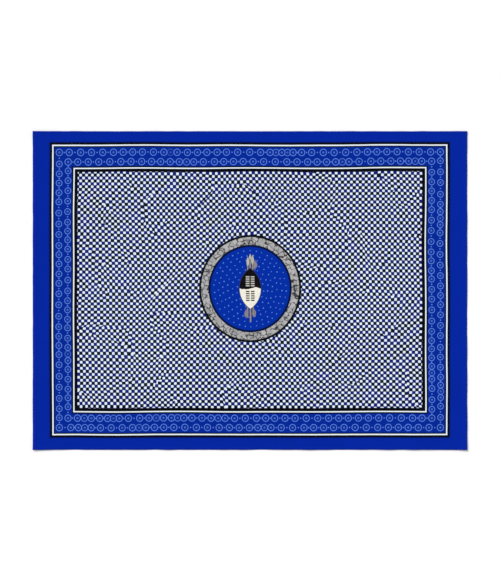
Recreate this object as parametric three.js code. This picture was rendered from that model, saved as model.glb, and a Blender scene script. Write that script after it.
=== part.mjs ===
// Kanga: one length of printed cotton, lying flat and face up.
// The two short cut ends are turned under in a narrow hem, and the two long edges are plain selvedges.
// Units are millimetres, +Z is up, and the origin is the centre of the underside.

import * as THREE from 'three';

// Finished cloth
const CLOTH_LENGTH = 1500;
const CLOTH_WIDTH = 1100;
const SHEET_THICKNESS = 1;

// Hem: the turned layer lies on the surface, and the face of the cloth runs over it
const HEM_DEPTH = 10;
const FOLD_GAP = 0.3;
const STEP_RUN = 8;

// Straight pieces that stand for each arc: twice this number
const ARC_STEPS = 4;

// Look
const BORDER_BLUE = 0x0527a2;
const COTTON_ROUGHNESS = 0.9;

// Points of one hemmed end at +X, from the face of the cloth, round the fold, back to the underside.
// The section lies in a plane whose first axis runs along the cloth and whose second points up.
function hemmedEnd() {
  const end = CLOTH_LENGTH / 2;
  const layerRise = SHEET_THICKNESS + FOLD_GAP;
  const foldInner = FOLD_GAP / 2;
  const foldOuter = SHEET_THICKNESS + foldInner;
  const foldX = end - foldOuter;
  const foldZ = foldOuter;
  const hemEdgeX = end - HEM_DEPTH;

  // The step from the surface up onto the turned layer is two equal arcs that meet halfway
  const stepTopX = hemEdgeX - FOLD_GAP;
  const stepFootX = stepTopX - STEP_RUN;
  const bendRadius = (layerRise ** 2 + STEP_RUN ** 2) / (4 * layerRise);
  const bendAngle = 2 * Math.atan(layerRise / STEP_RUN);
  const wide = bendRadius + SHEET_THICKNESS / 2;
  const tight = bendRadius - SHEET_THICKNESS / 2;
  const footZ = wide;
  const crestZ = layerRise - tight;
  const straightDown = -Math.PI / 2;
  const straightUp = Math.PI / 2;

  const outline = new THREE.Path();
  outline.moveTo(stepFootX, SHEET_THICKNESS);
  outline.absarc(stepFootX, footZ, tight, straightDown, straightDown + bendAngle, false);
  outline.absarc(stepTopX, crestZ, wide, straightUp + bendAngle, straightUp, true);
  outline.absarc(foldX, foldZ, foldOuter, straightUp, straightDown, true);
  outline.lineTo(hemEdgeX, 0);
  outline.lineTo(hemEdgeX, SHEET_THICKNESS);
  outline.absarc(foldX, foldZ, foldInner, straightDown, straightUp, false);
  outline.absarc(stepTopX, crestZ, tight, straightUp, straightUp + bendAngle, false);
  outline.absarc(stepFootX, footZ, wide, straightDown + bendAngle, straightDown, true);
  return outline.getPoints(ARC_STEPS);
}

// Long section of the whole cloth: the hemmed end at +X and its mirror image at -X
function clothSection() {
  const right = hemmedEnd();
  const left = right.map((point) => new THREE.Vector2(-point.x, point.y)).reverse();
  return new THREE.Shape([...right, ...left]);
}

// The section runs from selvedge to selvedge
function clothGeometry() {
  const options = { depth: CLOTH_WIDTH, steps: 1, bevelEnabled: false };
  return new THREE.ExtrudeGeometry(clothSection(), options);
}

function kangaCloth() {
  const material = new THREE.MeshStandardMaterial({
    color: BORDER_BLUE,
    roughness: COTTON_ROUGHNESS,
    metalness: 0,
  });
  const cloth = new THREE.Mesh(clothGeometry(), material);
  cloth.name = 'kanga_cloth';
  cloth.rotation.x = Math.PI / 2;
  cloth.position.y = CLOTH_WIDTH / 2;
  return cloth;
}

const kanga = new THREE.Group();
kanga.add(kangaCloth());

export default kanga;
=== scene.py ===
"""A printed cotton kanga, lying flat and face up.

The cloth is a thin sheet with a turned and stitched hem at each short end. Its print is painted by a
node tree from the cloth's own flat coordinates, so it follows the cloth through the hems.
Names that end in _MM hold millimetres; everything that Blender receives is in metres.
"""

import math

import bmesh
import bpy
import numpy as np
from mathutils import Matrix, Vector


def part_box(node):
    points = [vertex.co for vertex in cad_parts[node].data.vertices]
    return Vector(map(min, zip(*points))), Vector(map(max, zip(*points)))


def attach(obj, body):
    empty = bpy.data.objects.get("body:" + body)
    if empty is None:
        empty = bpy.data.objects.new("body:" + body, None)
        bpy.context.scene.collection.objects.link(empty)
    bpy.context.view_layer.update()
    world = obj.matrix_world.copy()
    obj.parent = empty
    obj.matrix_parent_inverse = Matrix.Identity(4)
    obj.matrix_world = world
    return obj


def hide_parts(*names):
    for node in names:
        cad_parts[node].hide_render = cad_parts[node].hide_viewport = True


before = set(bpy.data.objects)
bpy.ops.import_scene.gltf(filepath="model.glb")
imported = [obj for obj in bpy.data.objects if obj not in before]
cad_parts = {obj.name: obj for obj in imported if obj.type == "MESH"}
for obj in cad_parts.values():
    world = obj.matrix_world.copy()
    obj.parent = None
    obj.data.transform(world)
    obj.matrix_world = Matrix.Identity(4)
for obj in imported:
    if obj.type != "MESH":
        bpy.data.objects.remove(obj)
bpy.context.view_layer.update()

MM = 0.001
CLOTH_NODE = "kanga_cloth"
low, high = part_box(CLOTH_NODE)
LENGTH_MM = (high.x - low.x) / MM
WIDTH_MM = (high.y - low.y) / MM

# Cloth
COTTON_MM = 0.6
HEM_DEPTH_MM = 10.0
HEM_AIR_MM = 0.25
HEM_STEP_MM = 7.0
HEM_POINTS = {"rise": 7, "over": 12, "fold": 9, "under": 6}
COLUMN_MM = 10.0
ROW_MM = 5.0
SELVEDGE_MM = 6.0
SELVEDGE_EXTRA_MM = 0.2
EDGE_WAVER_MM = 0.3

# Lockstitches that hold the hems: one row at each end, seen on both faces
STITCH = {"from_end": 7.5, "pitch": 3.2, "length": 2.8, "thread": 0.42, "dip": 0.2, "dip_reach": 1.2}
STITCH_SHAPE = {"proud_above": 0.35, "proud_below": -0.2, "dive": 0.6, "taper": 0.4, "flatten": 1.2}
STITCH_SECTIONS = 6
STITCH_SIDES = 6

# Camera: straight above, with the taller side of the picture covering this much of the floor, in metres
FRAME_HEIGHT = 2.007
LENS_MM = 85.0
SENSOR_MM = 36.0

# Light: what a perfectly white floor sends back, and how much of that is the soft key light
LIGHT_LEVEL = 1.08
KEY_SHARE = 0.52
KEY_ELEVATION = math.radians(46)
KEY_AZIMUTH = math.radians(130)
KEY_SOFTNESS = math.radians(28)

# Long soft ripples that the cloth keeps as it lies: centre, heading, half sizes and height
RIPPLES = [
    {"x": -560, "y": 290, "heading": 22, "half_length": 250, "half_width": 62, "height": 4.6},
    {"x": -330, "y": -350, "heading": -16, "half_length": 300, "half_width": 74, "height": 3.9},
    {"x": 40, "y": 410, "heading": 7, "half_length": 280, "half_width": 58, "height": 3.6},
    {"x": 330, "y": -190, "heading": 36, "half_length": 280, "half_width": 78, "height": 3.4},
    {"x": 560, "y": 320, "heading": -34, "half_length": 220, "half_width": 55, "height": 4.8},
    {"x": 630, "y": -400, "heading": 70, "half_length": 190, "half_width": 52, "height": 4.4},
    {"x": -660, "y": -110, "heading": 80, "half_length": 230, "half_width": 54, "height": 3.8},
    {"x": 120, "y": -480, "heading": -4, "half_length": 190, "half_width": 46, "height": 3.2},
]

# How far a ripple bends to one side, and how much of a wave that bend makes over its half length
RIPPLE_BOW_MM = 14
RIPPLE_BOW_TURN = 1.7

# How far each corner stands off the floor
CORNERS = [
    {"x": -1, "y": -1, "lift": 2.6, "reach": 90},
    {"x": 1, "y": -1, "lift": 3.4, "reach": 110},
    {"x": 1, "y": 1, "lift": 2.0, "reach": 80},
    {"x": -1, "y": 1, "lift": 3.0, "reach": 100},
]

# Waves in the cloth: height, how far they reach in from their line, and their shortest and longest lengths.
# The two edges of a pair take the same wave from places that far apart.
SELVEDGE_WAVES = {"height": 2.6, "reach": 38, "shortest": 70, "longest": 420, "apart": 400, "seed": 11}
STITCH_PUCKERS = {"height": 0.55, "reach": 16, "shortest": 13, "longest": 55, "apart": 300, "seed": 12}
HEM_WAVES = {"height": 2.2, "reach": 45, "shortest": 90, "longest": 380, "apart": -200, "seed": 13}
SWAY = {"height": 0.25, "shortest": 150, "longest": 500, "seed_x": 14, "seed_y": 15}
EDGE_WAVER = {"shortest": 60, "longest": 500, "apart": 90, "seed_x": 16, "seed_y": 17, "falloff": 8}


def soft_wave(t_mm, shortest_mm, longest_mm, seed, count=7):
    """Smooth uneven wave along a line, from about -1 to 1."""
    rng = np.random.default_rng(seed)
    wavelengths = np.geomspace(shortest_mm, longest_mm, count)
    phases = rng.uniform(0, 2 * math.pi, count)
    weights = rng.uniform(0.6, 1.0, count)
    total = sum(w * np.sin(2 * math.pi * t_mm / k + p) for w, k, p in zip(weights, wavelengths, phases))
    return total / math.sqrt(count)


def ripple_height(x, y):
    """Height of the listed ripples."""
    total = np.zeros(np.broadcast(x, y).shape)
    for r in RIPPLES:
        turn = math.radians(r["heading"])
        along = (x - r["x"]) * math.cos(turn) + (y - r["y"]) * math.sin(turn)
        bow = RIPPLE_BOW_MM * np.sin(along / r["half_length"] * RIPPLE_BOW_TURN)
        across = (y - r["y"]) * math.cos(turn) - (x - r["x"]) * math.sin(turn) + bow
        fall = (along / r["half_length"]) ** 2 + (across / r["half_width"]) ** 2
        total += r["height"] * np.exp(-fall)
    return total


def corner_height(x, y):
    """Height of the four lifted corners."""
    total = np.zeros(np.broadcast(x, y).shape)
    for c in CORNERS:
        away = np.hypot(x - c["x"] * LENGTH_MM / 2, y - c["y"] * WIDTH_MM / 2)
        total += c["lift"] * np.exp(-(away / c["reach"]) ** 2)
    return total


def crests(waves, along, side):
    """Height of a line's waves, flat in their troughs."""
    place = along + waves["apart"] * np.sign(side)
    wave = 0.5 + 0.5 * soft_wave(place, waves["shortest"], waves["longest"], waves["seed"])
    return waves["height"] * np.clip(wave, 0, None)


def edge_height(x, y):
    """Slack waves along the selvedges and hems, and fine puckers along the hem stitching."""
    from_selvedge = WIDTH_MM / 2 - np.abs(y)
    from_end = LENGTH_MM / 2 - np.abs(x)
    from_hem = np.abs(LENGTH_MM / 2 - HEM_DEPTH_MM - np.abs(x))
    selvedge = crests(SELVEDGE_WAVES, x, y) * np.exp(-from_selvedge / SELVEDGE_WAVES["reach"])
    pucker = crests(STITCH_PUCKERS, y, x) * np.exp(-((from_hem / STITCH_PUCKERS["reach"]) ** 2))
    hem = crests(HEM_WAVES, y, x) * np.exp(-from_end / HEM_WAVES["reach"])
    return selvedge + pucker + hem


def lie_height(x, y):
    """How far the cloth stands off the floor at a place, never below it."""
    along = soft_wave(x + 0.4 * y, SWAY["shortest"], SWAY["longest"], SWAY["seed_x"])
    across = soft_wave(y - 0.3 * x, SWAY["shortest"], SWAY["longest"], SWAY["seed_y"])
    sway = SWAY["height"] * (1 + along * across)
    return np.clip(ripple_height(x, y) + corner_height(x, y) + edge_height(x, y) + sway, 0, None)


def stitch_dip(x):
    """How far the stitches pull the face of the hem down, at a distance from the cloth's centre."""
    away = x - LENGTH_MM / 2 + STITCH["from_end"]
    return STITCH["dip"] * math.exp(-((away / STITCH["dip_reach"]) ** 2))


def hemmed_half():
    """Middle line of the cloth's section from its centre to the raw edge of the hem at +X."""
    end = LENGTH_MM / 2
    layer = COTTON_MM + HEM_AIR_MM
    fold_radius = layer / 2
    fold_x = end - COTTON_MM / 2 - fold_radius
    hem_x = end - HEM_DEPTH_MM
    foot_x = hem_x - HEM_STEP_MM
    ground = COTTON_MM / 2
    columns = round(foot_x / COLUMN_MM)
    flat = [(x, ground) for x in np.linspace(0, foot_x, columns + 1)]
    rise = [(foot_x + u * HEM_STEP_MM, ground + layer * (0.5 - 0.5 * math.cos(math.pi * u)))
            for u in np.linspace(0, 1, HEM_POINTS["rise"])[1:]]
    over = [(x, ground + layer - stitch_dip(x))
            for x in np.linspace(hem_x, fold_x, HEM_POINTS["over"])[1:]]
    fold = [(fold_x + fold_radius * math.sin(a), ground + fold_radius + fold_radius * math.cos(a))
            for a in np.linspace(0, math.pi, HEM_POINTS["fold"])[1:]]
    under = [(x, ground) for x in np.linspace(fold_x, hem_x, HEM_POINTS["under"])[1:]]
    return np.array(flat + rise + over + fold + under)


def cloth_section():
    """Whole section, raw edge to raw edge: places, unit normals of the face, and flat distances."""
    right = hemmed_half()
    left = right[:0:-1] * np.array([-1.0, 1.0])
    places = np.vstack([left, right])
    steps = np.gradient(places, axis=0)
    steps /= np.linalg.norm(steps, axis=1, keepdims=True)
    normals = np.column_stack([-steps[:, 1], steps[:, 0]])
    runs = np.linalg.norm(np.diff(places, axis=0), axis=1)
    flat = np.concatenate([[0], np.cumsum(runs)])
    return places, normals, flat - flat[-1] / 2


def grid_faces(rows, columns, start, flipped):
    """Quads of one side of the cloth."""
    corner = start + np.arange(rows - 1)[:, None] * columns + np.arange(columns - 1)
    quads = np.stack([corner, corner + 1, corner + 1 + columns, corner + columns], -1).reshape(-1, 4)
    return quads[:, ::-1] if flipped else quads


def rim_faces(rows, columns):
    """Quads that close the cloth's edge between its two sides."""
    ring = np.concatenate([
        np.arange(columns),
        np.arange(1, rows) * columns + columns - 1,
        (rows - 1) * columns + np.arange(columns - 2, -1, -1),
        np.arange(rows - 2, 0, -1) * columns,
    ])
    after = np.roll(ring, -1)
    back = rows * columns
    return np.stack([ring, ring + back, after + back, after], -1)


def new_mesh_object(name, points_mm, faces):
    """Object made from points in millimetres."""
    mesh = bpy.data.meshes.new(name)
    mesh.from_pydata((points_mm * MM).tolist(), [], faces.tolist())
    mesh.validate()
    obj = bpy.data.objects.new(name, mesh)
    bpy.context.scene.collection.objects.link(obj)
    return obj


def cloth_rows():
    """Places of the rows of points from selvedge to selvedge, closer together at the selvedges."""
    inner = WIDTH_MM / 2 - SELVEDGE_MM
    rows = np.linspace(-inner, inner, round(2 * inner / ROW_MM) + 1)
    edge = inner + np.array([2.0, 4.0, SELVEDGE_MM])
    return np.concatenate([-edge[::-1], rows, edge])


def edge_waver(along, across, half, seed):
    """How far an edge strays from straight, fading quickly toward the middle of the cloth."""
    place = along + EDGE_WAVER["apart"] * np.sign(across)
    wave = soft_wave(place, EDGE_WAVER["shortest"], EDGE_WAVER["longest"], seed)
    return EDGE_WAVER_MM * wave * (np.abs(across) / half) ** EDGE_WAVER["falloff"]


def side_points(places, normals, y, side):
    """Points of one side of the cloth, row by row: 1 for the face and -1 for the back."""
    x = places[:, 0][None, :]
    height = lie_height(x, y)
    shape = height.shape
    at_selvedge = np.clip((np.abs(y) - WIDTH_MM / 2 + SELVEDGE_MM) / SELVEDGE_MM, 0, 1)
    thickness = COTTON_MM + SELVEDGE_EXTRA_MM * at_selvedge
    waver_x = edge_waver(y, x, LENGTH_MM / 2, EDGE_WAVER["seed_x"])
    waver_y = edge_waver(x, y, WIDTH_MM / 2, EDGE_WAVER["seed_y"])
    off = side * thickness / 2
    side_x = np.broadcast_to(x + waver_x + normals[:, 0] * off, shape)
    side_y = np.broadcast_to(y + waver_y, shape)
    side_z = places[:, 1] + normals[:, 1] * off + height + SELVEDGE_EXTRA_MM / 2 * at_selvedge
    return np.stack([side_x, side_y, side_z], -1).reshape(-1, 3)


def map_print(cloth, flat, y):
    """Gives the cloth the map of its print: flat coordinates that both sides share."""
    shape = (len(y), len(flat))
    u = np.broadcast_to(flat / (flat[-1] - flat[0]) + 0.5, shape).reshape(-1)
    v = np.broadcast_to(y / WIDTH_MM + 0.5, shape).reshape(-1)
    uv = np.tile(np.stack([u, v], -1), (2, 1))
    layer = cloth.data.uv_layers.new(name="OFBake")
    loops = np.zeros(len(cloth.data.loops), int)
    cloth.data.loops.foreach_get("vertex_index", loops)
    layer.data.foreach_set("uv", uv[loops].reshape(-1))


def make_cloth():
    """The sheet as one closed skin, and its flat length from raw edge to raw edge."""
    places, normals, flat = cloth_section()
    y = cloth_rows()[:, None]
    rows = len(y)
    columns = len(flat)
    sides = [side_points(places, normals, y, side) for side in (1, -1)]
    faces = np.vstack([
        grid_faces(rows, columns, 0, False),
        grid_faces(rows, columns, rows * columns, True),
        rim_faces(rows, columns),
    ])
    cloth = new_mesh_object("kanga_sheet", np.vstack(sides), faces)
    cloth.data.polygons.foreach_set("use_smooth", [True] * len(cloth.data.polygons))
    map_print(cloth, flat, y)
    return cloth, float(flat[-1] - flat[0])


def stitch_points(end, side):
    """Points of the stitches of one hem on one face: stitches by sections by sides."""
    x = end * (LENGTH_MM / 2 - STITCH["from_end"])
    reach = WIDTH_MM / 2 - STITCH["pitch"]
    middles = np.arange(-reach, reach, STITCH["pitch"])
    t = np.linspace(-1, 1, STITCH_SECTIONS)
    y = middles[:, None] + t * STITCH["length"] / 2
    rows_mm = cloth_rows()
    face = 2 * COTTON_MM + HEM_AIR_MM - STITCH["dip"] if side > 0 else 0.0
    ground = face + np.interp(y, rows_mm, lie_height(x, rows_mm))
    proud = STITCH_SHAPE["proud_above"] if side > 0 else STITCH_SHAPE["proud_below"]
    rise = STITCH["thread"] * (proud - STITCH_SHAPE["dive"] * t ** 4)
    radius = STITCH["thread"] / 2 * (1 - STITCH_SHAPE["taper"] * t ** 6)
    turn = np.linspace(0, 2 * math.pi, STITCH_SIDES, endpoint=False)
    across = x + radius[:, None] * np.cos(turn) * STITCH_SHAPE["flatten"]
    up = rise[:, None] + radius[:, None] * np.sin(turn)
    shape = (len(middles), STITCH_SECTIONS, STITCH_SIDES)
    points = np.empty((*shape, 3))
    points[..., 0] = across
    points[..., 1] = y[..., None]
    points[..., 2] = ground[..., None] + side * up
    return points.reshape(-1, 3)


def stitch_faces():
    """Quads of one stitch: its skin and its two closed ends."""
    section = np.arange(STITCH_SECTIONS - 1)[:, None] * STITCH_SIDES
    first = np.arange(STITCH_SIDES)
    second = (first + 1) % STITCH_SIDES
    skin = np.stack(np.broadcast_arrays(
        section + first,
        section + second,
        section + STITCH_SIDES + second,
        section + STITCH_SIDES + first,
    ), -1).reshape(-1, 4)
    cap = np.array([[0, 1, 2, 3], [0, 3, 4, 5]])
    far_end = (STITCH_SECTIONS - 1) * STITCH_SIDES
    return np.vstack([skin, cap[:, ::-1], cap + far_end])


def make_stitches():
    """All the hem stitches as one mesh."""
    points = np.vstack([stitch_points(end, side) for end in (-1, 1) for side in (1, -1)])
    step = STITCH_SECTIONS * STITCH_SIDES
    starts = np.arange(len(points) // step) * step
    faces = (starts[:, None, None] + stitch_faces()).reshape(-1, 4)
    stitches = new_mesh_object("hem_stitches", points, faces)
    shape = bmesh.new()
    shape.from_mesh(stitches.data)
    bmesh.ops.recalc_face_normals(shape, faces=shape.faces)
    shape.to_mesh(stitches.data)
    shape.free()
    stitches.data.polygons.foreach_set("use_smooth", [True] * len(stitches.data.polygons))
    return stitches


cloth, CUT_LENGTH_MM = make_cloth()
stitches = make_stitches()


# Node arithmetic: a print is drawn with ordinary formulas that become nodes

class Value:
    """A number that changes over the cloth: one output of a node tree, with arithmetic."""

    def __init__(self, socket):
        self.socket = socket

    def __add__(self, other):
        return calc("ADD", self, other)

    def __radd__(self, other):
        return calc("ADD", other, self)

    def __sub__(self, other):
        return calc("SUBTRACT", self, other)

    def __rsub__(self, other):
        return calc("SUBTRACT", other, self)

    def __mul__(self, other):
        return calc("MULTIPLY", self, other)

    def __rmul__(self, other):
        return calc("MULTIPLY", other, self)

    def __truediv__(self, other):
        return calc("DIVIDE", self, other)

    def __neg__(self):
        return calc("MULTIPLY", self, -1.0)

    def __abs__(self):
        return calc("ABSOLUTE", self)


def new_node(kind, *inputs):
    """A node in the tree that the inputs come from."""
    tree = next(v.socket.id_data for v in inputs if isinstance(v, Value))
    return tree.nodes.new(kind)


def feed(socket, value):
    """Gives a node's input a number, a colour or another node's output."""
    if isinstance(value, Value):
        socket.id_data.links.new(value.socket, socket)
    else:
        socket.default_value = value


def calc(operation, *inputs):
    """One arithmetic node."""
    node = new_node("ShaderNodeMath", *inputs)
    node.operation = operation
    for socket, value in zip(node.inputs, inputs):
        feed(socket, value)
    return Value(node.outputs[0])


def hypot(x, y):
    """Distance from two distances at right angles."""
    return calc("SQRT", x * x + y * y)


def larger(a, b):
    """The larger of two values; of two masks, what either covers."""
    return calc("MAXIMUM", a, b)


def smaller(a, b):
    """The smaller of two values."""
    return calc("MINIMUM", a, b)


def within(value, lowest, highest):
    """The value, kept between two limits."""
    return smaller(larger(value, lowest), highest)


def vector(x, y, z):
    """Three numbers as the place where a texture is read."""
    node = new_node("ShaderNodeCombineXYZ", x, y, z)
    for socket, value in zip(node.inputs, (x, y, z)):
        feed(socket, value)
    return Value(node.outputs[0])


def above(value, edge, soft):
    """0 below the edge and 1 above it, with a soft step."""
    node = new_node("ShaderNodeMapRange", value, edge)
    node.interpolation_type = "SMOOTHSTEP"
    node.clamp = False
    feed(node.inputs["Value"], value)
    feed(node.inputs["From Min"], edge - soft)
    feed(node.inputs["From Max"], edge + soft)
    return Value(node.outputs[0])


def below(value, edge, soft):
    """1 below the edge and 0 above it, with a soft step."""
    return 1.0 - above(value, edge, soft)


def between(value, lowest, highest, soft):
    """1 between two edges and 0 outside them, with soft steps."""
    return above(value, lowest, soft) * below(value, highest, soft)


def noise(x, y, size, seed, detail=1.0):
    """Smooth noise, mostly from -0.5 to 0.5, with patches of about that size."""
    place = vector(x / size, y / size, seed)
    node = new_node("ShaderNodeTexNoise", place)
    feed(node.inputs["Vector"], place)
    node.inputs["Scale"].default_value = 1.0
    node.inputs["Detail"].default_value = detail
    return (Value(node.outputs[0]) - 0.5) * 2.0


def chance(x, y, z):
    """An even random number from -1 to 1 for each place."""
    place = vector(x, y, z)
    node = new_node("ShaderNodeTexWhiteNoise", place)
    feed(node.inputs["Vector"], place)
    return Value(node.outputs[0]) * 2.0 - 1.0


# Places of a mix node's colour sockets
MIX_UNDER = 6
MIX_OVER = 7
MIX_RESULT = 2


def paint(under, over, mask):
    """The colour over, where the mask is 1, on the colour under."""
    node = new_node("ShaderNodeMix", mask)
    node.data_type = "RGBA"
    feed(node.inputs[0], mask)
    feed(node.inputs[MIX_UNDER], under)
    feed(node.inputs[MIX_OVER], over)
    return Value(node.outputs[MIX_RESULT])


def ink(red, green, blue):
    """Surface colour that reads as this screen colour in the scene's light."""
    screen = np.array([red, green, blue]) / 255
    linear = np.where(screen > 0.04045, ((screen + 0.055) / 1.055) ** 2.4, screen / 12.92)
    return (*(linear / LIGHT_LEVEL), 1.0)


# Inks
BORDER_BLUE = ink(2, 38, 161)
BAND_BLUE = ink(2, 41, 152)
DISC_BLUE = ink(2, 46, 165)
RING_BLUE = ink(102, 146, 240)
LINE_BLACK = ink(7, 9, 14)
LINE_NAVY = ink(4, 16, 54)
LINE_WHITE = ink(240, 249, 255)
CHECK_WHITE = ink(230, 242, 255)
CHECK_BLACK = ink(8, 13, 40)
CHECK_NAVY = ink(21, 28, 116)
STONE_PALE = ink(188, 187, 188)
STONE_GREY = ink(160, 160, 161)
STONE_DARK = ink(54, 53, 55)
DOT_PALE = ink(106, 161, 255)
HIDE_BLACK = ink(10, 9, 11)
HIDE_GREY = ink(46, 44, 47)
HIDE_CREAM = ink(248, 245, 232)
HIDE_TAN = ink(214, 203, 178)
SLOT_GREY = ink(196, 196, 188)
WOOD_GREY = ink(150, 144, 136)
WOOD_DARK = ink(52, 50, 56)
# Sewing thread blue, and a darker copy of it for painted shade along the thread's twist
THREAD_BLUE = ink(26, 66, 190)
THREAD_SHADED_BLUE = ink(10, 34, 122)

# Layout of the print, in millimetres from its own centre, which is a little off the cloth's
PRINT_CENTRE = {"x": -1.0, "y": 2.1}
PRINT_WAVER_MM = 3.0
WAVER_PATCH_MM = 280
INK_SPREAD_MM = 0.5
INK_PATCH_MM = 3.0
SOFT_MM = 0.7
BLEED_MM = 4.0
OUTER_LINE = {"half_x": 680.3, "half_y": 499.8, "white": 2.25, "black": 9.0, "thin": 4.0}
INNER_LINE = {"half_x": 607.7, "half_y": 421.0, "white": 2.05, "black": 10.7, "thin": 4.8}
RING_ROWS = [
    {"half_x": 658.4, "half_y": 475.8, "along_x": 36, "along_y": 27, "seed": 3.1},
    {"half_x": 628.2, "half_y": 443.2, "along_x": 35, "along_y": 26, "seed": 7.7},
]
RING = {
    "line": 2.0, "dot": 3.6, "dot_soft": 1.2, "dot_strength": 0.5, "link": 2.0,
    "stray": 1.6, "drift": 4.0, "drift_step": 0.8, "push": 5.0, "squeezed_strength": 0.8,
}
LEVEL_RINGS = {"half_x": 10.9, "half_y": 11.2, "crowded": 0.07}
UPRIGHT_RINGS = {"half_x": 9.9, "half_y": 10.2, "crowded": 0.025}
CHECK_MM = 10.23
MEDALLION = {
    "x": 1.8, "y": 4.5, "tall": 1.05, "outer": 173.3, "outer_line": 7.1, "inner": 140.6, "inner_line": 6.9,
    "disc_soft": 2.4, "dots_inset": 6,
}


def frame_distance(x, y, line):
    """How far outside a rectangular frame line a place is."""
    return larger(abs(x) - line["half_x"], abs(y) - line["half_y"])


def dotted_ring(dx, dy, rings):
    """Mask of a ring with a fainter dot in its middle, and mask of all that lies inside its line."""
    mean = (rings["half_x"] + rings["half_y"]) / 2
    away = hypot(dx / rings["half_x"], dy / rings["half_y"]) * mean
    circle = below(abs(away - mean), RING["line"] / 2, SOFT_MM)
    dot = below(away, RING["dot"], RING["dot_soft"]) * RING["dot_strength"]
    return larger(circle, dot), below(away, mean, SOFT_MM)


def ring_row(along, across, rings, half, count, side, seed):
    """Mask of one row of dotted rings with small dots between them, and here and there a ring squeezed in.

    A ring is numbered along its row. The rings at the corners keep their places.
    """
    pitch = 2 * half / count
    travelled = along + half
    first = within(calc("FLOOR", travelled / pitch), 0.0, count - 1.0)

    def not_at_corner(index):
        return between(index, 0.5, count - 0.5, 0.1)

    def crowded(index):
        drawn = above(chance(index, side, seed + 0.3), 1 - 2 * rings["crowded"], 0.01)
        return drawn * between(index, 0.5, count - 1.5, 0.1)

    def centre(index):
        stray = chance(index, side, seed) * RING["stray"]
        drift = calc("SINE", index * RING["drift_step"] + side * 1.3 + seed) * RING["drift"]
        push = (crowded(index - 1.0) - crowded(index)) * RING["push"]
        return index * pitch + (stray + drift + push) * not_at_corner(index)

    def ring_at(place):
        gap = travelled - place
        if rings is LEVEL_RINGS:
            return dotted_ring(gap, across, rings)
        return dotted_ring(across, gap, rings)

    before, after = centre(first), centre(first + 1.0)
    middle = (before + after) / 2
    squeezed = crowded(first)
    link = below(hypot(travelled - middle, across), RING["link"], SOFT_MM) * (1.0 - squeezed)
    ring_before, inside_before = ring_at(before)
    ring_after, inside_after = ring_at(after)
    if rings is UPRIGHT_RINGS:
        ring_before = ring_before * not_at_corner(first)
        ring_after = ring_after * not_at_corner(first + 1.0)
    extra, _ = ring_at(middle)
    uncovered = 1.0 - larger(inside_before, inside_after)
    between_rings = larger(link, extra * squeezed * uncovered * RING["squeezed_strength"])
    return larger(larger(ring_before, ring_after), between_rings)


def ring_border(x, y):
    """Mask of the two ringed rows that run round the cloth."""
    end_side = calc("SIGN", x)
    long_side = calc("SIGN", y)
    mask = None
    for row in RING_ROWS:
        across_level = abs(y) - row["half_y"]
        across_upright = abs(x) - row["half_x"]
        seed = row["seed"]
        level = ring_row(
            x, across_level, LEVEL_RINGS, row["half_x"], row["along_x"], long_side, seed)
        upright = ring_row(
            y, across_upright, UPRIGHT_RINGS, row["half_y"], row["along_y"], end_side, seed + 1)
        both = larger(level, upright)
        mask = both if mask is None else larger(mask, both)
    return mask


CHECK_PATCH_MM = 155.0
CHECK_WHITE_SHARE = 0.85
CHECK_CHAMFER = 0.57
CHECK_SOFT = 0.12
CHECK_TONE = {"random": 0.6, "soft": 0.3}
CHECK_SEEDS = {"rising": 21.3, "falling": 24.3, "tone": 26.0}


def wandering_phase(x, y, seed):
    """Phase that drifts over the cloth.

    It turns once round scattered points, where a line of checks ends.
    """
    first = noise(x, y, CHECK_PATCH_MM, seed, 0.0)
    second = noise(x, y, CHECK_PATCH_MM, seed + 0.5, 0.0)
    return calc("ARCTAN2", first, second)


def from_whole_turn(phase):
    """What is left of a phase after the nearest whole number of turns."""
    return phase - calc("ROUND", phase / (2 * math.pi)) * (2 * math.pi)


def checks(x, y):
    """Colour of the checked field: white, with rows of black and rows of navy squares in turn.

    Two sets of diagonal waves cross, and the squares lie where their crests and troughs meet.
    """
    turn = math.pi / CHECK_MM
    rising = (x + y) * turn + wandering_phase(x, y, CHECK_SEEDS["rising"])
    falling = (x - y) * turn + wandering_phase(x, y, CHECK_SEEDS["falling"])
    across_rising = abs(from_whole_turn(rising))
    across_falling = abs(from_whole_turn(falling - math.pi))
    square = (across_rising + across_falling) * 0.5
    chamfered = larger(square, larger(across_rising, across_falling) * CHECK_CHAMFER)
    dark = above(chamfered / (math.pi / 2), CHECK_WHITE_SHARE, CHECK_SOFT)
    from_crest = from_whole_turn(falling)
    from_trough = from_whole_turn(rising - math.pi)
    square_x = x - (from_trough + from_crest) / (2 * turn)
    square_y = y - (from_trough - from_crest) / (2 * turn)
    column = calc("ROUND", square_x / CHECK_MM)
    row = calc("ROUND", square_y / CHECK_MM)
    tone = chance(column, row, CHECK_SEEDS["tone"])
    row_tone = calc("SINE", square_y * turn) + tone * CHECK_TONE["random"]
    navy = below(row_tone, 0.0, CHECK_TONE["soft"])
    return paint(CHECK_WHITE, paint(CHECK_BLACK, CHECK_NAVY, navy), dark)


# Veined ring: patches of a second grey, and a network of veins with cells of uneven size
STONE_PATCH = {"size": 26, "seed": 31.3, "detail": 2.0, "strength": 1.8, "share": 0.45}
VEIN = {"cell": 16.0, "width": 2.2, "width_change": 0.8, "bend": 9.0, "bend_size": 14, "bend_detail": 2.0}
VEIN_GAPS = {"size": 17, "seed": 34.3, "below": -0.22, "soft": 0.12}
VEIN_SEEDS = {"bend_x": 32.3, "bend_y": 33.3, "width": 35.3, "cells": 36.3}
VEIN_WIDTH_PATCH_MM = 9


def cell_edge(x, y, size, seed):
    """Distance to the nearest edge of a network of uneven cells of about that size."""
    place = vector(x / size, y / size, seed)
    node = new_node("ShaderNodeTexVoronoi", place)
    node.feature = "DISTANCE_TO_EDGE"
    feed(node.inputs["Vector"], place)
    node.inputs["Scale"].default_value = 1.0
    return Value(node.outputs["Distance"]) * size


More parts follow.
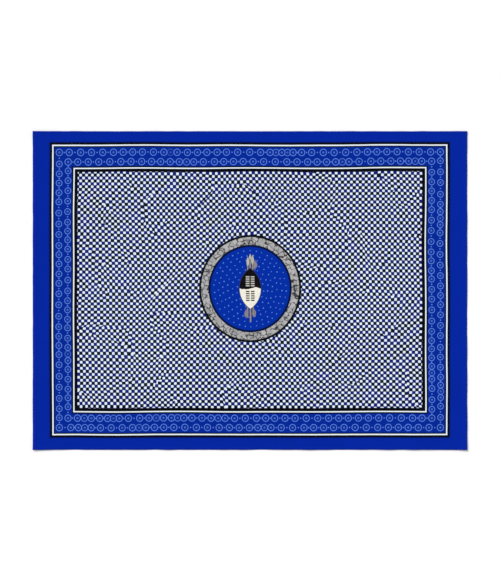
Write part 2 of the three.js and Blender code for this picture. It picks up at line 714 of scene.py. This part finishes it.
def stone_ring(x, y):
    """Colour of the medallion's grey ring, marbled with thin dark veins that start and stop."""
    patch = noise(x, y, STONE_PATCH["size"], STONE_PATCH["seed"], STONE_PATCH["detail"])
    patchy = within(patch * STONE_PATCH["strength"] + STONE_PATCH["share"], 0.0, 1.0)
    colour = paint(STONE_PALE, STONE_GREY, patchy)
    bent_x = x + noise(x, y, VEIN["bend_size"], VEIN_SEEDS["bend_x"], VEIN["bend_detail"]) * VEIN["bend"]
    bent_y = y + noise(x, y, VEIN["bend_size"], VEIN_SEEDS["bend_y"], VEIN["bend_detail"]) * VEIN["bend"]
    change = noise(x, y, VEIN_WIDTH_PATCH_MM, VEIN_SEEDS["width"]) * VEIN["width_change"]
    half_width = VEIN["width"] * 0.5 + change
    vein = below(cell_edge(bent_x, bent_y, VEIN["cell"], VEIN_SEEDS["cells"]), half_width, SOFT_MM)
    shown = above(noise(x, y, VEIN_GAPS["size"], VEIN_GAPS["seed"]), VEIN_GAPS["below"], VEIN_GAPS["soft"])
    return paint(colour, STONE_DARK, vein * shown)


DOT_ROW_MM = 15.5
DOT_STEP_MM = 20.6
DOT_RADIUS_MM = 1.55
DOT_STRAY = {"along": 2.2, "across": 2.0, "radius": 0.3}
DOT_SEEDS = {"along": 41.0, "across": 42.0, "radius": 43.0}
DOT_SOFT_MM = 1.0

# Part of a step that each circle of dots is turned against the one inside it, so that no rays show
DOT_TURN = 0.618


def disc_dots(x, y):
    """Mask of the small dots that lie in circles on the disc."""
    radius = hypot(x, y)
    circle = calc("ROUND", radius / DOT_ROW_MM)
    count = larger(calc("ROUND", circle * (2 * math.pi * DOT_ROW_MM / DOT_STEP_MM)), 1.0)
    turn = calc("ARCTAN2", y, x) / (2 * math.pi) + 0.5
    spot = turn * count + circle * DOT_TURN
    index = calc("FLOOR", spot)
    step = radius * (2 * math.pi) / count
    dot = calc("FLOORED_MODULO", index, count)
    along = (spot - index - 0.5) * step + chance(dot, circle, DOT_SEEDS["along"]) * DOT_STRAY["along"]
    from_circle = radius - circle * DOT_ROW_MM
    across = from_circle + chance(dot, circle, DOT_SEEDS["across"]) * DOT_STRAY["across"]
    size = DOT_RADIUS_MM + chance(dot, circle, DOT_SEEDS["radius"]) * DOT_STRAY["radius"]
    return below(hypot(along, across), size, DOT_SOFT_MM)


def pointed_oval(x, y, half_width, half_height):
    """Distance outside an oval that is pointed at both ends."""
    radius = (half_width ** 2 + half_height ** 2) / (2 * half_width)
    return hypot(abs(x) + (radius - half_width), y) - radius


# Figure in the middle of the disc, from the disc's centre
SHIELD = {"half_width": 36.5, "half_height": 69.0, "rim": 1.6}
SEAM = {"wave": 3.2, "wave_run": 11, "rough": 4.0, "rough_size": 14, "seed": 61.0}
HIDE_HAIR = {"size": 1.7, "seed": 62.0, "slant": 12, "stretch": 7, "strength": 1.2, "most": 0.45}
LACING = {"column": 8.6, "half_width": 6.4, "half_height": 2.1, "pitch": 7.6, "near": 6.0, "rows": 5}
LACING_SOFT_MM = 0.1
LACING_CHANGE_MM = 0.5
SHAFTS = [
    {"x": -9.0, "lean": 0.01, "half_width": 2.0, "low": -100.0, "high": 86.0},
    {"x": 0.0, "lean": 0.0, "half_width": 2.4, "low": -114.0, "high": 110.0},
    {"x": 9.0, "lean": -0.01, "half_width": 2.0, "low": -94.0, "high": 94.0},
]
BLADES = [
    {"x": -8.1, "y": 92.0, "half_width": 4.4, "half_height": 18.0},
    {"x": 0.0, "y": 108.0, "half_width": 3.4, "half_height": 12.0},
    {"x": 8.1, "y": 98.0, "half_width": 4.4, "half_height": 18.0},
]
TUFTS = [
    {"x": 15.0, "y": 82.0, "half_width": 9.0, "half_height": 16.0},
    {"x": -14.0, "y": -86.0, "half_width": 8.0, "half_height": 15.0},
    {"x": 12.0, "y": -84.0, "half_width": 8.0, "half_height": 13.0},
]
TUFT_HAIR = {"size": 1.5, "seed": 51.0, "stretch": 12, "rough": 0.9, "reach": 0.9, "soft": 0.12, "ink": 0.85}
SHAFT_OUTLINE_MM = 1.0
BLADE_OUTLINE_MM = 0.9
BLADE_RIDGE = {"half_width": 0.5, "soft": 0.4, "inset": 0.8, "ink": 0.6}


def weapons(x, y, colour):
    """Paints the shafts, tufts and blades that show behind the shield."""
    for tuft in TUFTS:
        spread = hypot((x - tuft["x"]) / tuft["half_width"], (y - tuft["y"]) / tuft["half_height"])
        hairs = noise(x, y / TUFT_HAIR["stretch"], TUFT_HAIR["size"], TUFT_HAIR["seed"]) * TUFT_HAIR["rough"]
        tuft_mask = below(spread + hairs, TUFT_HAIR["reach"], TUFT_HAIR["soft"])
        colour = paint(colour, WOOD_GREY, tuft_mask * TUFT_HAIR["ink"])
    for shaft in SHAFTS:
        middle = x - shaft["x"] - y * shaft["lean"]
        run = between(y, shaft["low"], shaft["high"], SOFT_MM)
        outline = below(abs(middle), shaft["half_width"] + SHAFT_OUTLINE_MM, SOFT_MM)
        colour = paint(colour, WOOD_DARK, outline * run)
        colour = paint(colour, WOOD_GREY, below(abs(middle), shaft["half_width"], SOFT_MM) * run)
    for blade in BLADES:
        edge = pointed_oval(x - blade["x"], y - blade["y"], blade["half_width"], blade["half_height"])
        colour = paint(colour, WOOD_DARK, below(edge, BLADE_OUTLINE_MM, SOFT_MM))
        colour = paint(colour, SLOT_GREY, below(edge, 0.0, SOFT_MM))
        ridge = below(abs(x - blade["x"]), BLADE_RIDGE["half_width"], BLADE_RIDGE["soft"])
        ridge = ridge * below(edge, -BLADE_RIDGE["inset"], SOFT_MM)
        colour = paint(colour, WOOD_DARK, ridge * BLADE_RIDGE["ink"])
    return colour


def shield(x, y, colour):
    """Paints an oval hide shield, dark above and pale below, laced in two columns."""
    edge = pointed_oval(x, y, SHIELD["half_width"], SHIELD["half_height"])
    wave = SEAM["wave"] * calc("SINE", x / SEAM["wave_run"])
    rough = noise(x, y, SEAM["rough_size"], SEAM["seed"]) * SEAM["rough"]
    dark_half = above(y - wave - rough, 0.0, SOFT_MM)
    hair_x = x + y / HIDE_HAIR["slant"]
    hair_y = y / HIDE_HAIR["stretch"]
    hair = noise(hair_x, hair_y, HIDE_HAIR["size"], HIDE_HAIR["seed"]) * HIDE_HAIR["strength"]
    hair = within(hair, 0.0, HIDE_HAIR["most"])
    hide = paint(HIDE_CREAM, HIDE_BLACK, dark_half)
    hide = paint(hide, paint(HIDE_TAN, HIDE_GREY, dark_half), hair)
    climb = abs(y) - LACING["near"]
    step = climb / LACING["pitch"]
    slot_y = (step - calc("FLOOR", step) - 0.5) * LACING["pitch"]
    slot = below(abs(abs(x) - LACING["column"]), LACING["half_width"], SOFT_MM)
    slot = slot * below(abs(slot_y), LACING["half_height"], SOFT_MM)
    slot = slot * between(climb, 0.0, LACING["rows"] * LACING["pitch"], LACING_SOFT_MM)
    slot_colour = paint(HIDE_BLACK, SLOT_GREY, above(y, 0.0, LACING_CHANGE_MM))
    hide = paint(hide, slot_colour, slot)
    colour = paint(colour, STONE_DARK, below(edge, SHIELD["rim"], SOFT_MM))
    return paint(colour, hide, below(edge, 0.0, SOFT_MM))


def medallion(x, y, colour):
    """Paints the round centre: a veined grey ring, a dotted blue disc and a shield."""
    m = MEDALLION
    x = x - m["x"]
    y = y - m["y"]
    radius = hypot(x, y / m["tall"])
    outer_edge = m["outer"] + m["outer_line"] / 2
    colour = paint(colour, LINE_BLACK, below(radius, outer_edge, SOFT_MM))
    colour = paint(colour, stone_ring(x, y), below(radius, m["outer"] - m["outer_line"] / 2, SOFT_MM))
    colour = paint(colour, LINE_NAVY, below(radius, m["inner"] + m["inner_line"] / 2, SOFT_MM))
    disc_edge = m["inner"] - m["inner_line"] / 2
    dotted = below(radius, disc_edge - m["dots_inset"], SOFT_MM)
    disc = paint(DISC_BLUE, DOT_PALE, disc_dots(x, y / m["tall"]) * dotted)
    colour = paint(colour, disc, below(radius, disc_edge, m["disc_soft"]))
    return shield(x, y, weapons(x, y, colour))


PRINT_SEEDS = {"waver_x": 1.0, "spread_x": 2.0, "waver_y": 4.0, "spread_y": 5.0}


def print_waver(x, y, waver_seed, spread_seed):
    """How far the print strays from its place: slow wander of the cloth and fine spread of the ink."""
    slow = noise(x, y, WAVER_PATCH_MM, waver_seed, 0.0) * PRINT_WAVER_MM
    fine = noise(x, y, INK_PATCH_MM, spread_seed) * INK_SPREAD_MM
    return slow + fine


def whole_print(x, y):
    """Colour of the print at a place on the flat cloth, in millimetres from its centre."""
    x = x - PRINT_CENTRE["x"]
    y = y - PRINT_CENTRE["y"]
    waver_x = print_waver(x, y, PRINT_SEEDS["waver_x"], PRINT_SEEDS["spread_x"])
    waver_y = print_waver(x, y, PRINT_SEEDS["waver_y"], PRINT_SEEDS["spread_y"])
    x = x + waver_x
    y = y + waver_y
    outer = frame_distance(x, y, OUTER_LINE)
    inner = frame_distance(x, y, INNER_LINE)
    white = OUTER_LINE["white"]
    colour = paint(BORDER_BLUE, LINE_BLACK, below(outer, white + OUTER_LINE["black"], BLEED_MM))
    colour = paint(colour, LINE_WHITE, below(outer, white, SOFT_MM))
    colour = paint(colour, LINE_BLACK, below(outer, -white, SOFT_MM))
    band = paint(BAND_BLUE, RING_BLUE, ring_border(x, y))
    colour = paint(colour, band, below(outer, -white - OUTER_LINE["thin"], SOFT_MM))
    white = INNER_LINE["white"]
    colour = paint(colour, LINE_BLACK, below(inner, white + INNER_LINE["thin"], SOFT_MM))
    colour = paint(colour, LINE_WHITE, below(inner, white, SOFT_MM))
    colour = paint(colour, LINE_BLACK, below(inner, -white, SOFT_MM))
    colour = paint(colour, checks(x, y), below(inner, -white - INNER_LINE["black"], SOFT_MM))
    return medallion(x, y, colour)


# Plain weave: yarns of uneven thickness, each painted a little darker where it dips under another, as
# painted shade
YARN_MM = 0.42
WEAVE_DEPTH_MM = 0.12
WEAVE_MEAN = 0.6
WEAVE_SHADE = 0.3
BUMP_STRENGTH = 0.8
OVER_LIFT = {"mean": 0.55, "swing": 0.45}
SLUB = {"size": 1.3, "stretch": 30, "strength": 0.3, "seed_x": 71.0, "seed_y": 72.0}

# Unevenness of the dyed cloth
STREAK = {"size": 1.6, "stretch": 40, "strength": 0.05, "seed_x": 81.0, "seed_y": 82.0}
UPTAKE = {"size": 60, "strength": 0.04, "seed": 83.0, "detail": 3.0}
SELVEDGE_TONE = {"strength": 0.06, "soft": 0.8}
COTTON_ROUGHNESS = 0.9
COTTON_SPECULAR = 0.015
COTTON_SHEEN = {"weight": 0.02, "roughness": 0.6}

# Sewing thread, with painted shade in bands along its twist
THREAD_TWIST = {"length": 0.6, "lean": 1.5, "patch": 4, "seed": 91.0}
THREAD_ROUGHNESS = {"mean": 0.62, "change": 0.1, "patch": 2, "seed": 92.0}
THREAD_SPECULAR = 0.2


def weave_height(x, y):
    """Relief of the plain weave, from about 0 to 1: yarns that pass over and under each other."""
    slub_x = noise(x, y / SLUB["stretch"], SLUB["size"], SLUB["seed_x"]) * SLUB["strength"]
    slub_y = noise(x / SLUB["stretch"], y, SLUB["size"], SLUB["seed_y"]) * SLUB["strength"]
    across_warp = calc("SINE", (x / YARN_MM + slub_x) * math.pi)
    across_weft = calc("SINE", (y / YARN_MM + slub_y) * math.pi)
    over = within(across_warp * across_weft * 2.0, -1.0, 1.0)
    lift = over * OVER_LIFT["swing"]
    warp = abs(across_warp) * (OVER_LIFT["mean"] + lift)
    weft = abs(across_weft) * (OVER_LIFT["mean"] - lift)
    return larger(warp, weft)


def cotton_material():
    """Matt printed cotton."""
    material = bpy.data.materials.new("printed_cotton")
    material.use_nodes = True
    tree = material.node_tree
    shader = tree.nodes["Principled BSDF"]
    place = tree.nodes.new("ShaderNodeUVMap")
    place.uv_map = "OFBake"
    split = tree.nodes.new("ShaderNodeSeparateXYZ")
    tree.links.new(place.outputs[0], split.inputs[0])
    x = (Value(split.outputs[0]) - 0.5) * CUT_LENGTH_MM
    y = (Value(split.outputs[1]) - 0.5) * WIDTH_MM
    colour = whole_print(x, y)
    weft_streak = noise(x / STREAK["stretch"], y, STREAK["size"], STREAK["seed_x"])
    warp_streak = noise(x, y / STREAK["stretch"], STREAK["size"], STREAK["seed_y"])
    streak = (weft_streak + warp_streak) * STREAK["strength"]
    uptake = noise(x, y, UPTAKE["size"], UPTAKE["seed"], UPTAKE["detail"]) * UPTAKE["strength"]
    selvedge = above(abs(y), WIDTH_MM / 2 - SELVEDGE_MM, SELVEDGE_TONE["soft"]) * SELVEDGE_TONE["strength"]
    weave = weave_height(x, y)
    # Painted shade: the colour darkens where the weave's relief is low, between the yarns
    weave_painted_shade = (weave - WEAVE_MEAN) * WEAVE_SHADE
    # One value scale for the painted weave shade and the dye's streaks, uptake and darker selvedge
    painted_shade_and_dye_tone = tree.nodes.new("ShaderNodeHueSaturation")
    feed(painted_shade_and_dye_tone.inputs["Color"], colour)
    feed(painted_shade_and_dye_tone.inputs["Value"], 1.0 + weave_painted_shade + streak + uptake - selvedge)
    tree.links.new(painted_shade_and_dye_tone.outputs[0], shader.inputs["Base Color"])
    bump = tree.nodes.new("ShaderNodeBump")
    bump.inputs["Strength"].default_value = BUMP_STRENGTH
    bump.inputs["Distance"].default_value = WEAVE_DEPTH_MM * MM
    feed(bump.inputs["Height"], weave)
    tree.links.new(bump.outputs[0], shader.inputs["Normal"])
    feed(shader.inputs["Roughness"], COTTON_ROUGHNESS + streak)
    shader.inputs["Specular IOR Level"].default_value = COTTON_SPECULAR
    shader.inputs["Sheen Weight"].default_value = COTTON_SHEEN["weight"]
    shader.inputs["Sheen Roughness"].default_value = COTTON_SHEEN["roughness"]
    return material


def thread_material():
    """Twisted sewing thread in the blue of the border, with painted shade in bands along its twist."""
    material = bpy.data.materials.new("sewing_thread")
    material.use_nodes = True
    tree = material.node_tree
    shader = tree.nodes["Principled BSDF"]
    place = tree.nodes.new("ShaderNodeTexCoord")
    split = tree.nodes.new("ShaderNodeSeparateXYZ")
    tree.links.new(place.outputs["Object"], split.inputs[0])
    x = Value(split.outputs[0]) / MM
    y = Value(split.outputs[1]) / MM
    turn = 2 * math.pi / THREAD_TWIST["length"]
    # Painted shade: darker bands follow the thread's twist, broken into uneven patches
    twist = calc("SINE", (y + x * THREAD_TWIST["lean"]) * turn) * 0.5 + 0.5
    twist_lit_share = within(twist + noise(x, y, THREAD_TWIST["patch"], THREAD_TWIST["seed"]), 0.0, 1.0)
    feed(shader.inputs["Base Color"], paint(THREAD_SHADED_BLUE, THREAD_BLUE, twist_lit_share))
    rough = noise(x, y, THREAD_ROUGHNESS["patch"], THREAD_ROUGHNESS["seed"]) * THREAD_ROUGHNESS["change"]
    feed(shader.inputs["Roughness"], THREAD_ROUGHNESS["mean"] + rough)
    shader.inputs["Specular IOR Level"].default_value = THREAD_SPECULAR
    return material


cloth.data.materials.append(cotton_material())
stitches.data.materials.append(thread_material())
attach(cloth, "root")
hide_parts(CLOTH_NODE)
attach(stitches, "root")


# Stage, light and camera

FLOOR_HALF = 40.0
FLOOR_Z = -0.0002
FLOOR_GREY = 0.94


def make_floor():
    """Wide pale matt floor, a hair below the cloth."""
    signs = [(-1, -1), (1, -1), (1, 1), (-1, 1)]
    corners = [(x * FLOOR_HALF, y * FLOOR_HALF, FLOOR_Z) for x, y in signs]
    mesh = bpy.data.meshes.new("floor")
    mesh.from_pydata(corners, [], [(0, 1, 2, 3)])
    floor = bpy.data.objects.new("floor", mesh)
    bpy.context.scene.collection.objects.link(floor)
    material = bpy.data.materials.new("pale_floor")
    material.use_nodes = True
    shader = material.node_tree.nodes["Principled BSDF"]
    shader.inputs["Base Color"].default_value = (FLOOR_GREY, FLOOR_GREY, FLOOR_GREY, 1)
    shader.inputs["Roughness"].default_value = 1.0
    shader.inputs["Specular IOR Level"].default_value = 0.0
    mesh.materials.append(material)


def make_light():
    """Even white surroundings and one soft key light."""
    world = bpy.data.worlds.new("studio")
    world.use_nodes = True
    background = world.node_tree.nodes["Background"]
    background.inputs["Color"].default_value = (1, 1, 1, 1)
    background.inputs["Strength"].default_value = LIGHT_LEVEL * (1 - KEY_SHARE)
    bpy.context.scene.world = world
    key = bpy.data.lights.new("key", "SUN")
    key.energy = LIGHT_LEVEL * KEY_SHARE * math.pi / math.sin(KEY_ELEVATION)
    key.angle = KEY_SOFTNESS
    lamp = bpy.data.objects.new("key", key)
    to_light = Vector((
        math.cos(KEY_ELEVATION) * math.cos(KEY_AZIMUTH),
        math.cos(KEY_ELEVATION) * math.sin(KEY_AZIMUTH),
        math.sin(KEY_ELEVATION),
    ))
    lamp.rotation_euler = to_light.to_track_quat("Z", "Y").to_euler()
    bpy.context.scene.collection.objects.link(lamp)


def make_camera():
    """Camera straight above the cloth, with the length of the cloth across the frame."""
    data = bpy.data.cameras.new("above")
    data.lens = LENS_MM
    data.sensor_width = SENSOR_MM
    camera = bpy.data.objects.new("above", data)
    camera.location = (0, 0, FRAME_HEIGHT * LENS_MM / SENSOR_MM)
    bpy.context.scene.collection.objects.link(camera)
    bpy.context.scene.camera = camera


make_floor()
make_light()
make_camera()
bpy.context.scene.view_settings.view_transform = "Standard"
